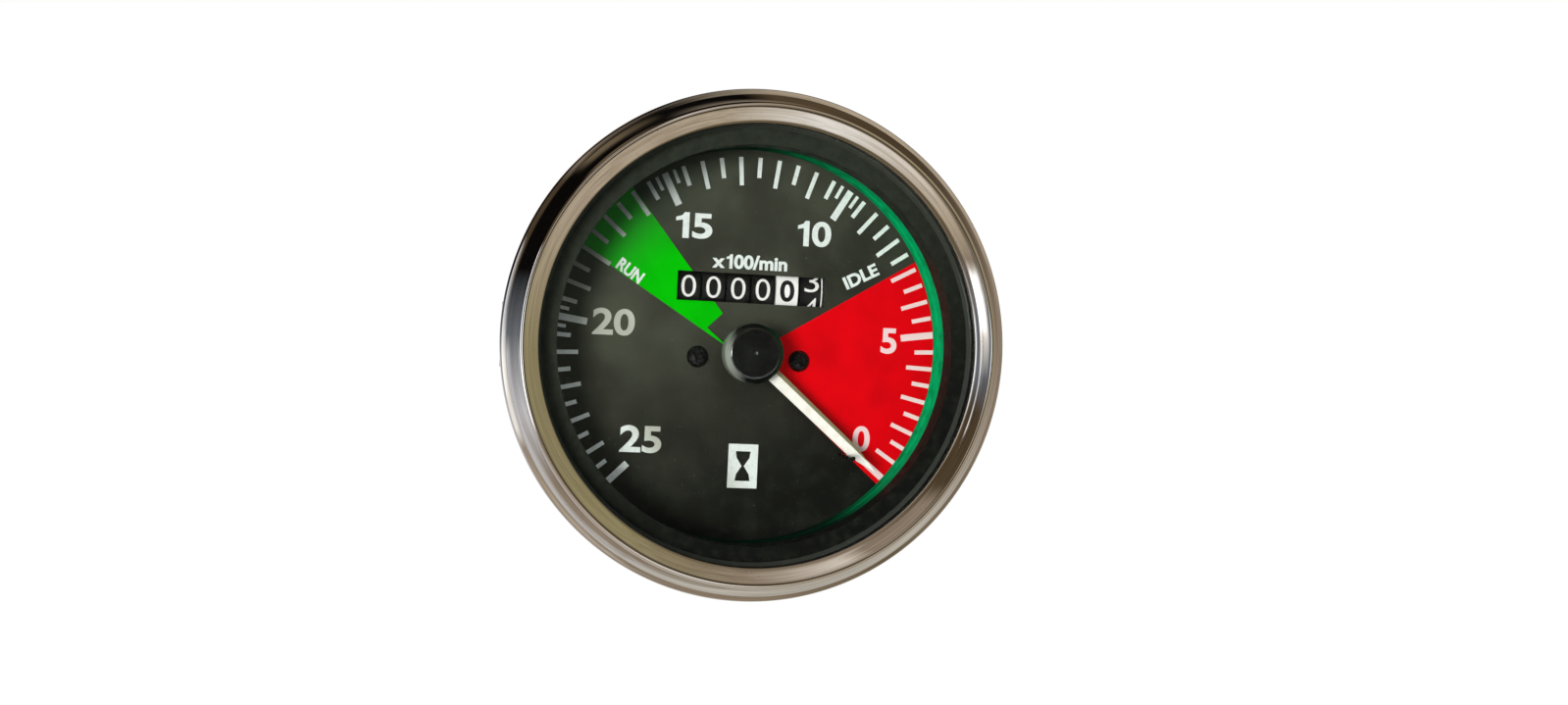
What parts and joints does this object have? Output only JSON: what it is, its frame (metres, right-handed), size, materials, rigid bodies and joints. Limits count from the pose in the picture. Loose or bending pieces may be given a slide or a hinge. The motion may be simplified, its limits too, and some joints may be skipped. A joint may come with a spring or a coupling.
{
  "type": "tractor tachometer",
  "caption": "Round panel tachometer with hour counter for a tractor: chromed bezel, dial lit through a green ring, cable drive at the rear, clamp strap.",
  "frame": {"origin": "on the case's axis, in the plane where the seal's rear face meets the panel", "axes": "+Y along the case's axis towards the rear, so the dial faces -Y; +Z towards 12 o'clock on the dial; +X to the right as seen from the front"},
  "size_m": [0.11, 0.0926, 0.11],
  "materials": {
    "chrome_trim": "polished, age-tarnished in places",
    "clear_glass": "clear, flat",
    "black_rubber": "matte",
    "visor_paint": "dark grey, matte, slightly mottled",
    "green_light_guide": "translucent green, glossy",
    "case_enamel": "dark grey enamel, satin",
    "dial_enamel": "black, matte, printed white, red and green",
    "blackened_steel": "blackened, satin",
    "turned_brass": "turned, bright",
    "bright_steel": "bright zinc-plated or ground",
    "pointer_enamel": "ivory, satin",
    "cap_plastic": "black, satin",
    "bright_aluminium": "spun, bright",
    "spring_bronze": "bright",
    "light_casting": "die-cast, matte",
    "soft_iron": "bright, unplated",
    "magnet_alloy": "sintered, dark",
    "drum_black": "black with white figures",
    "drum_white": "white with black figures",
    "pinion_plastic": "natural",
    "bulb_glass": "clear"
  },
  "bodies": {
    "instrument": {"bezel": "chrome_trim", "glass": "clear_glass", "glass_gasket": "black_rubber", "visor_ring": "visor_paint", "light_ring": "green_light_guide", "case": "case_enamel", "panel_seal": "black_rubber", "dial_plate": "dial_enamel", "dial_screws": "blackened_steel", "dial_posts": "turned_brass", "stop_pin": "blackened_steel", "hairspring": "spring_bronze", "hairspring_stud": "turned_brass", "spindle_bridge": "bright_steel", "front_bush": "turned_brass", "movement_frame": "light_casting", "rear_bush": "turned_brass", "flux_ring": "soft_iron", "drive_bush": "turned_brass", "drive_housing": "light_casting", "counter_axle": "bright_steel", "pinion_carriers": "bright_steel", "carrier_rod": "bright_steel", "case_screws": "bright_steel", "lamp_holders": "turned_brass", "lamp_bulbs": "bulb_glass", "mounting_studs": "bright_steel", "clamp_bracket": "bright_steel", "spring_washers": "bright_steel", "clamp_nuts": "bright_steel"},
    "pointer": {"pointer_blade": "pointer_enamel", "hub_cap": "cap_plastic", "pointer_boss": "turned_brass", "pointer_spindle": "bright_steel", "spring_collet": "turned_brass", "drag_cup": "bright_aluminium"},
    "drive": {"drive_shaft": "bright_steel", "magnet": "magnet_alloy", "drive_worm": "turned_brass"},
    "cross": {"cross_shaft": "bright_steel", "cross_wheel": "turned_brass", "cross_worm": "bright_steel"},
    "lay": {"lay_shaft": "bright_steel", "lay_wheel": "turned_brass", "lay_worm": "bright_steel"},
    "counter_drum_1": {"drum_1": "drum_black", "drum_gear": "turned_brass"},
    "counter_drum_2": {"drum_2": "drum_white"},
    "counter_drum_3": {"drum_3": "drum_black"},
    "counter_drum_4": {"drum_4": "drum_black"},
    "counter_drum_5": {"drum_5": "drum_black"},
    "counter_drum_6": {"drum_6": "drum_black"},
    "carry_pinion_1": {"transfer_pinion_1": "pinion_plastic"},
    "carry_pinion_2": {"transfer_pinion_2": "pinion_plastic"},
    "carry_pinion_3": {"transfer_pinion_3": "pinion_plastic"},
    "carry_pinion_4": {"transfer_pinion_4": "pinion_plastic"},
    "carry_pinion_5": {"transfer_pinion_5": "pinion_plastic"}
  },
  "joints": [
    {"name": "pointer_turn", "type": "hinge", "parent": "instrument", "child": "pointer", "pos_m": [0, 0.0119, -0.0017], "axis": [0, -1, 0], "range_deg": [0, 265.8], "stiffness_Nm_per_rad": 0.0002, "springref_deg": -28.65},
    {"name": "drive_spin", "type": "hinge", "parent": "instrument", "child": "drive", "pos_m": [0, 0.06, -0.0017], "axis": [0, -1, 0], "continuous": true},
    {"name": "cross_spin", "type": "hinge", "parent": "instrument", "child": "cross", "pos_m": [0, 0.05288, -0.01033], "axis": [1, 0, 0], "continuous": true},
    {"name": "lay_spin", "type": "hinge", "parent": "instrument", "child": "lay", "pos_m": [0.0202, 0.05288, 0.00157], "axis": [0, -1, 0], "continuous": true},
    {"name": "drum_1_spin", "type": "hinge", "parent": "instrument", "child": "counter_drum_1", "pos_m": [0.0148, 0.0236, 0.01257], "axis": [1, 0, 0], "continuous": true},
    {"name": "drum_2_spin", "type": "hinge", "parent": "instrument", "child": "counter_drum_2", "pos_m": [0.0092, 0.0236, 0.01257], "axis": [1, 0, 0], "continuous": true},
    {"name": "drum_3_spin", "type": "hinge", "parent": "instrument", "child": "counter_drum_3", "pos_m": [0.0036, 0.0236, 0.01257], "axis": [1, 0, 0], "continuous": true},
    {"name": "drum_4_spin", "type": "hinge", "parent": "instrument", "child": "counter_drum_4", "pos_m": [-0.002, 0.0236, 0.01257], "axis": [1, 0, 0], "continuous": true},
    {"name": "drum_5_spin", "type": "hinge", "parent": "instrument", "child": "counter_drum_5", "pos_m": [-0.0076, 0.0236, 0.01257], "axis": [1, 0, 0], "continuous": true},
    {"name": "drum_6_spin", "type": "hinge", "parent": "instrument", "child": "counter_drum_6", "pos_m": [-0.0132, 0.0236, 0.01257], "axis": [1, 0, 0], "continuous": true},
    {"name": "pinion_1_spin", "type": "hinge", "parent": "instrument", "child": "carry_pinion_1", "pos_m": [0.012, 0.0236, 0.01817], "axis": [1, 0, 0], "continuous": true},
    {"name": "pinion_2_spin", "type": "hinge", "parent": "instrument", "child": "carry_pinion_2", "pos_m": [0.0064, 0.0236, 0.01817], "axis": [1, 0, 0], "continuous": true},
    {"name": "pinion_3_spin", "type": "hinge", "parent": "instrument", "child": "carry_pinion_3", "pos_m": [0.0008, 0.0236, 0.01817], "axis": [1, 0, 0], "continuous": true},
    {"name": "pinion_4_spin", "type": "hinge", "parent": "instrument", "child": "carry_pinion_4", "pos_m": [-0.0048, 0.0236, 0.01817], "axis": [1, 0, 0], "continuous": true},
    {"name": "pinion_5_spin", "type": "hinge", "parent": "instrument", "child": "carry_pinion_5", "pos_m": [-0.0104, 0.0236, 0.01817], "axis": [1, 0, 0], "continuous": true}
  ],
  "couplings": [
    {"joint": "cross_spin", "follows": "drive_spin", "ratio": 0.025},
    {"joint": "lay_spin", "follows": "drive_spin", "ratio": -0.0005},
    {"joint": "drum_1_spin", "follows": "drive_spin", "ratio": -0.000011111},
    {"joint": "drum_2_spin", "follows": "drive_spin", "ratio": -0.0000011111},
    {"joint": "drum_3_spin", "follows": "drive_spin", "ratio": -0.00000011111},
    {"joint": "drum_4_spin", "follows": "drive_spin", "ratio": -0.000000011111},
    {"joint": "drum_5_spin", "follows": "drive_spin", "ratio": -0.0000000011111},
    {"joint": "drum_6_spin", "follows": "drive_spin", "ratio": -0.00000000011111},
    {"joint": "pinion_1_spin", "follows": "drive_spin", "ratio": -0.0000037037},
    {"joint": "pinion_2_spin", "follows": "drive_spin", "ratio": -0.00000037037},
    {"joint": "pinion_3_spin", "follows": "drive_spin", "ratio": -0.000000037037},
    {"joint": "pinion_4_spin", "follows": "drive_spin", "ratio": -0.0000000037037},
    {"joint": "pinion_5_spin", "follows": "drive_spin", "ratio": -0.00000000037037}
  ]
}
